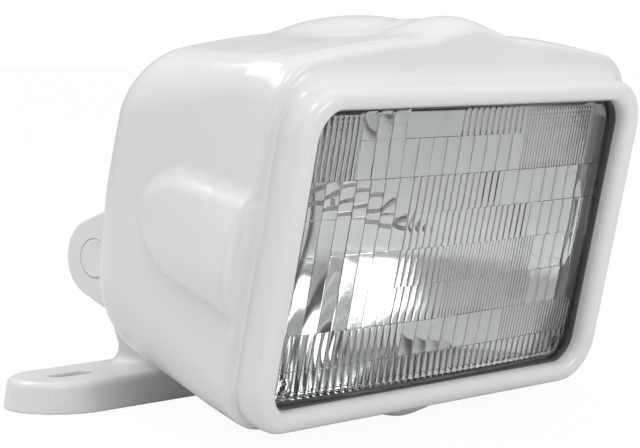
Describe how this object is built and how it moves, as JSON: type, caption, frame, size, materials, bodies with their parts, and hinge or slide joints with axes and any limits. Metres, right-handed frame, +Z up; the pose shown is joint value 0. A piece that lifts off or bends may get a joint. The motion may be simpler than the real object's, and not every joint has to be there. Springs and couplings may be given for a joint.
{
  "type": "deck floodlight",
  "caption": "White marine floodlight: a rectangular sealed beam in a rounded tilting housing, hinged at its back to a flat foot with slotted holes.",
  "frame": {"origin": "centre of the foot's flat underside", "axes": "+Z up from the mounting surface, the lamp faces -Y, +X to the right when the lamp is seen from the front"},
  "size_m": [0.19, 0.1542, 0.1285],
  "materials": {
    "shell_white": "moulded white plastic, glossy",
    "bezel_white": "moulded white plastic, glossy",
    "bracket_white": "moulded white plastic, glossy",
    "cap_white": "moulded white plastic, glossy",
    "lens_glass": "clear pressed glass, fluted",
    "bowl_glass": "glass bowl, silvered inside",
    "gasket_rubber": "black rubber",
    "grommet_rubber": "black rubber",
    "steel": "stainless steel",
    "brass": "tinned brass",
    "wire_nickel": "nickel wire",
    "tungsten": "coiled tungsten",
    "connector_black": "black moulded plastic",
    "disc_nylon": "nylon friction disc",
    "lead_red": "insulated wire",
    "lead_yellow": "insulated wire",
    "lead_black": "insulated wire"
  },
  "bodies": {
    "base": {"base_bracket": "bracket_white", "pivot_sleeve": "steel"},
    "head": {"front_bezel": "bezel_white", "lens_glass": "lens_glass", "beam_gasket": "gasket_rubber", "reflector_bowl": "bowl_glass", "post_ferrules": "steel", "lead_posts": "wire_nickel", "filaments": "tungsten", "terminal_blades": "brass", "beam_connector": "connector_black", "connector_contacts": "brass", "lead_low": "lead_red", "lead_high": "lead_yellow", "lead_common": "lead_black", "cable_grommet": "grommet_rubber", "seat_gasket": "gasket_rubber", "head_housing": "shell_white", "pivot_cap_left": "cap_white", "pivot_cap_right": "cap_white", "pivot_bolt": "steel", "pivot_nut": "steel", "pivot_washers": "steel", "friction_discs": "disc_nylon"}
  },
  "joints": [
    {"name": "head_tilt", "type": "hinge", "parent": "base", "child": "head", "pos_m": [0, 0.0069, 0.0469], "axis": [-1, 0, 0], "range_deg": [-15, 103]}
  ]
}
